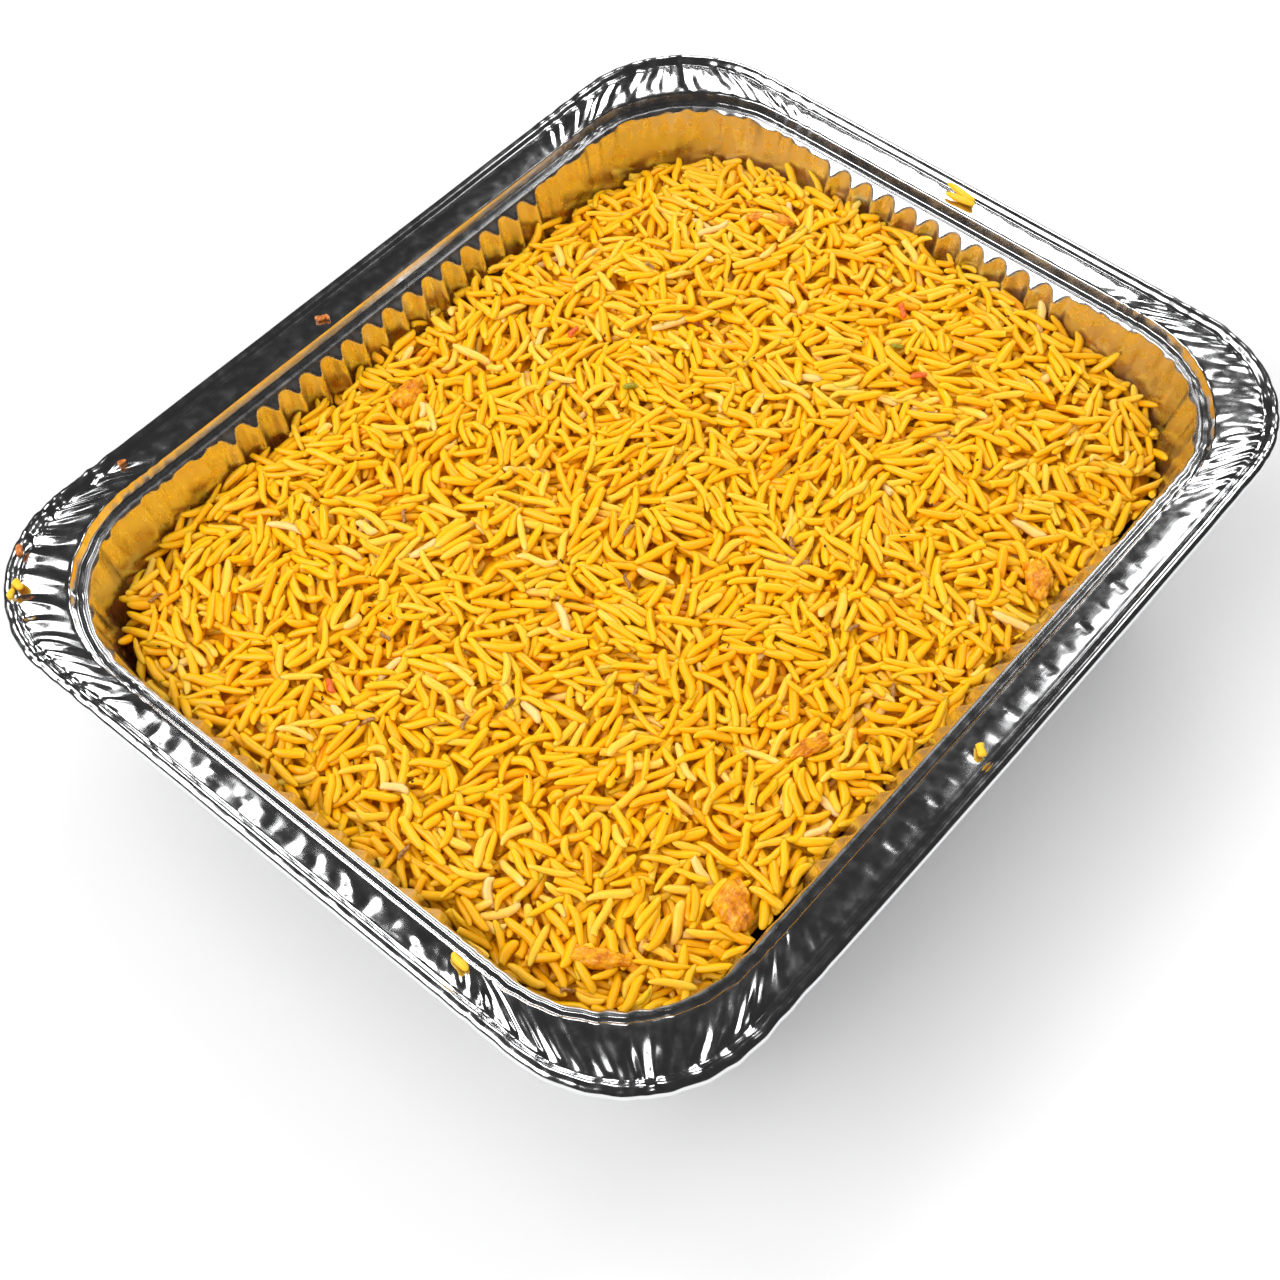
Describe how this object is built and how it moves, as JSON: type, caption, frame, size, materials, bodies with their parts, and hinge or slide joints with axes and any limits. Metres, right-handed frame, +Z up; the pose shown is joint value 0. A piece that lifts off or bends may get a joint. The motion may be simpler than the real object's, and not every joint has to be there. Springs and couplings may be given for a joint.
{
  "type": "foil tray meal",
  "caption": "Half-size rectangular foil tray with fluted walls and a rolled rim, filled with a heap of yellow saffron rice with fried onion and seeds.",
  "frame": {"origin": "under the middle of the tray, on the surface that it stands on", "axes": "+X along the tray's length, +Y across it, +Z up out of the open top"},
  "size_m": [0.324, 0.2647, 0.0671],
  "materials": {
    "foil": "bright rolled foil, wrinkled at the corners",
    "rice": "moist cooked rice, saffron yellow, slightly glossy",
    "onion": "fried onion, moist and translucent",
    "spice": "dry spice seed and pepper"
  },
  "bodies": {
    "root": {"tray": "foil", "rice": "rice", "onion_1": "onion", "onion_2": "onion", "onion_3": "onion", "onion_4": "onion", "onion_5": "onion", "onion_6": "onion"}
  },
  "joints": []
}
